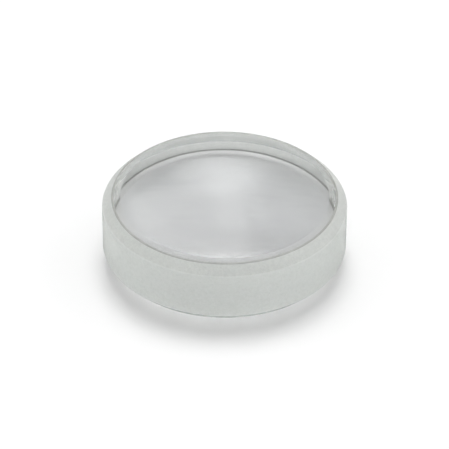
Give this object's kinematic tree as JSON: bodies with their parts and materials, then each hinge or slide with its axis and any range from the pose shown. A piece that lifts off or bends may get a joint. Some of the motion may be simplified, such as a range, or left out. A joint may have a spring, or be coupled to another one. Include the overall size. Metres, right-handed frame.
{
  "type": "biconvex lens",
  "caption": "Thick clear biconvex glass lens that focuses light, with polished faces, narrow flat lands, and a ground cylindrical edge with bevels.",
  "frame": {"origin": "lowest point of the lower face, on the optical axis", "axes": "+Z along the optical axis, towards the upper face; X and Y lie across the lens, which is the same all round"},
  "size_m": [0.025, 0.025, 0.0087],
  "materials": {
    "glass": "polished faces, finely ground edge and bevels"
  },
  "bodies": {
    "root": {"lens": "glass"}
  },
  "joints": []
}
